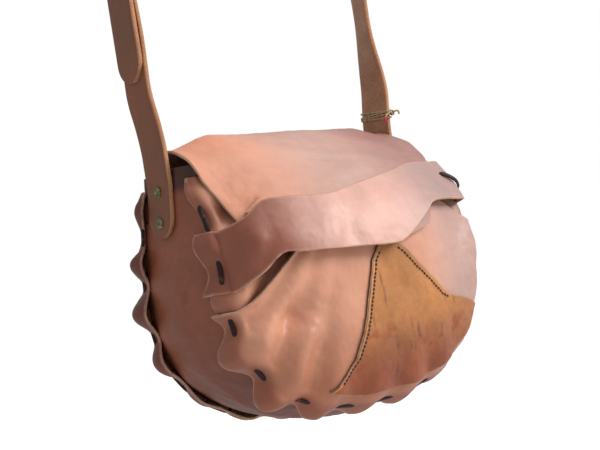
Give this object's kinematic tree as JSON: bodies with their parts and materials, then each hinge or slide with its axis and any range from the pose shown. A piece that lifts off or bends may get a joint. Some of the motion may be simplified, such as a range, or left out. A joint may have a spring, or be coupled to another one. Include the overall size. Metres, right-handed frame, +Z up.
{
  "type": "shoulder bag",
  "caption": "Hand-laced leather shoulder bag with a tucked flap, an outer pocket, a closure band and a riveted strap with a buckle.",
  "frame": {"origin": "middle of the strap's underside at its highest point, where a hook or a shoulder carries the hanging bag", "axes": "+Z up along the hanging strap, +X to the right across the bag's width, -Y out of the bag's front"},
  "size_m": [0.2942, 0.1749, 0.6522],
  "materials": {
    "tan_leather": "smooth vegetable-tanned leather, glazed where handled",
    "ochre_suede": "rough split leather with scratches and stains",
    "strap_leather": "matte thick strap leather with raw edges",
    "dark_thong": "dark flat thong",
    "dark_thread": "waxed thread",
    "aged_brass": "aged antique brass",
    "jute_twine": "hairy natural twine"
  },
  "bodies": {
    "strap": {"strap_long": "strap_leather", "strap_short": "strap_leather", "keeper_loop": "strap_leather", "buckle_frame": "aged_brass", "chape_rivet_front": "aged_brass", "chape_rivet_back": "aged_brass", "twine_wrap": "jute_twine"},
    "bag": {"gusset": "tan_leather", "front_panel": "tan_leather", "front_pocket": "tan_leather", "front_patch": "ochre_suede", "patch_thread_left": "dark_thread", "patch_thread_right": "dark_thread", "back_panel": "tan_leather", "closure_band": "tan_leather", "lace_front": "dark_thong", "lace_back": "dark_thong", "strap_end_left": "strap_leather", "strap_end_right": "strap_leather", "rivet_left_lower": "aged_brass", "rivet_left_upper": "aged_brass", "rivet_right_lower": "aged_brass", "rivet_right_upper": "aged_brass"},
    "flap": {"flap": "tan_leather"},
    "prong": {"buckle_prong": "aged_brass"}
  },
  "joints": [
    {"name": "bag_swing", "type": "hinge", "parent": "strap", "child": "bag", "pos_m": [0, 0, -0.40113], "axis": [1, 0, 0], "range_deg": [-30, 30], "stiffness_Nm_per_rad": 1.2, "springref_deg": -10.43},
    {"name": "flap_fold", "type": "hinge", "parent": "bag", "child": "flap", "pos_m": [0, 0.0445, -0.41933], "axis": [-1, 0, 0], "range_deg": [0, 115], "deforming": ["closure_band"]},
    {"name": "prong_turn", "type": "hinge", "parent": "strap", "child": "prong", "pos_m": [-0.1345, 0, -0.21213], "axis": [0, -1, 0], "range_deg": [0, 6]}
  ]
}
